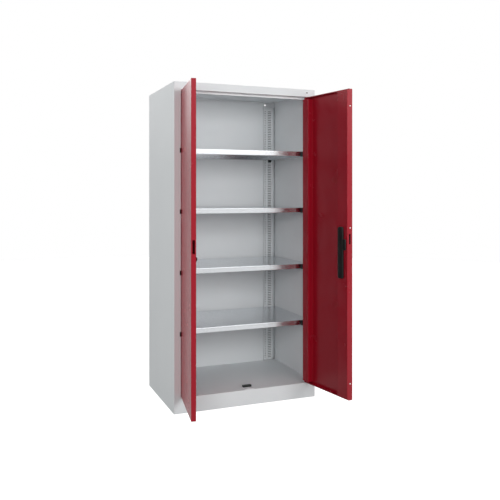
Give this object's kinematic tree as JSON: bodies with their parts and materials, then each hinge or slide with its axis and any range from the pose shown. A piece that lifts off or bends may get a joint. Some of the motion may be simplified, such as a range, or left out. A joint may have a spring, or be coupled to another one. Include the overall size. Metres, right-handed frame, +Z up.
{
  "type": "flammable storage cabinet",
  "caption": "Grey steel storage cabinet with wide-open red double doors, four zinc shelves and an espagnolette lock.",
  "frame": {"origin": "on the floor under the middle of the front plinth, 12 mm behind the cabinet front plane", "axes": "+X towards the right-hand side as seen from the front, +Y towards the back, +Z up"},
  "size_m": [0.9952, 1.0066, 1.95],
  "materials": {
    "grey_paint": "satin light grey powder coat",
    "red_paint": "semi-gloss ruby red powder coat",
    "zinc": "bright galvanised sheet",
    "black_plastic": "satin moulded",
    "steel": "zinc-plated",
    "rubber": "matt"
  },
  "bodies": {
    "carcass": {"back_panel": "grey_paint", "badge_plate": "steel", "clip_1_front_left": "black_plastic", "clip_1_front_right": "black_plastic", "clip_1_rear_left": "black_plastic", "clip_1_rear_right": "black_plastic", "clip_2_front_left": "black_plastic", "clip_2_front_right": "black_plastic", "clip_2_rear_left": "black_plastic", "clip_2_rear_right": "black_plastic", "clip_3_front_left": "black_plastic", "clip_3_front_right": "black_plastic", "clip_3_rear_left": "black_plastic", "clip_3_rear_right": "black_plastic", "clip_4_front_left": "black_plastic", "clip_4_front_right": "black_plastic", "clip_4_rear_left": "black_plastic", "clip_4_rear_right": "black_plastic", "floor_keeper": "black_plastic", "floor_panel": "grey_paint", "header_beam": "grey_paint", "header_keeper": "grey_paint", "hinge_left_1": "black_plastic", "hinge_left_2": "black_plastic", "hinge_left_3": "black_plastic", "hinge_left_4": "black_plastic", "hinge_right_1": "black_plastic", "hinge_right_2": "black_plastic", "hinge_right_3": "black_plastic", "hinge_right_4": "black_plastic", "plinth_front": "grey_paint", "shelf_1": "zinc", "shelf_2": "zinc", "shelf_3": "zinc", "shelf_4": "zinc", "shelf_rail_front_left": "grey_paint", "shelf_rail_front_right": "grey_paint", "shelf_rail_rear_left": "grey_paint", "shelf_rail_rear_right": "grey_paint", "side_panel_left": "grey_paint", "side_panel_right": "grey_paint", "top_panel": "grey_paint"},
    "left_door": {"door_left": "red_paint", "hinge_channel_left": "red_paint", "left_door_buffer": "rubber"},
    "right_door": {"door_right": "red_paint", "hinge_channel_right": "red_paint", "lock_channel": "red_paint", "lock_cover": "black_plastic", "handle_plate": "black_plastic", "lock_case_plate": "steel", "rod_guide_lower": "black_plastic", "rod_guide_upper": "black_plastic"},
    "handle": {"handle_lever": "black_plastic", "handle_spindle": "steel", "lock_cam": "steel"},
    "key_cylinder": {"lock_cylinder": "steel"},
    "upper_rod": {"rod_upper": "steel"},
    "lower_rod": {"rod_lower": "steel"},
    "latch": {"latch_tongue": "steel"}
  },
  "joints": [
    {"name": "left_door_swing", "type": "hinge", "parent": "carcass", "child": "left_door", "pos_m": [-0.4165, -0.0045, 1], "axis": [0, 0, 1], "range_deg": [-10, 99.6]},
    {"name": "right_door_swing", "type": "hinge", "parent": "carcass", "child": "right_door", "pos_m": [0.4165, -0.0045, 1], "axis": [0, 0, 1], "range_deg": [-99.6, 10]},
    {"name": "handle_turn", "type": "hinge", "parent": "right_door", "child": "handle", "pos_m": [0.48081, -0.36076, 1.024], "axis": [-0.986, -0.1668, 0], "range_deg": [0, 90]},
    {"name": "key_turn", "type": "hinge", "parent": "right_door", "child": "key_cylinder", "pos_m": [0.47687, -0.36143, 0.85], "axis": [-0.986, -0.1668, 0], "range_deg": [0, 90]},
    {"name": "upper_rod_slide", "type": "slide", "parent": "right_door", "child": "upper_rod", "axis": [0, 0, 1], "range_m": [0, 0.01801]},
    {"name": "lower_rod_slide", "type": "slide", "parent": "right_door", "child": "lower_rod", "axis": [0, 0, -1], "range_m": [0, 0.01801]},
    {"name": "latch_slide", "type": "slide", "parent": "right_door", "child": "latch", "axis": [0.1668, -0.986, 0], "range_m": [0, 0.01201]}
  ],
  "couplings": [
    {"joint": "upper_rod_slide", "follows": "handle_turn", "m_per_rad": 0.011459},
    {"joint": "lower_rod_slide", "follows": "handle_turn", "m_per_rad": 0.011459},
    {"joint": "latch_slide", "follows": "handle_turn", "m_per_rad": 0.0076394}
  ]
}
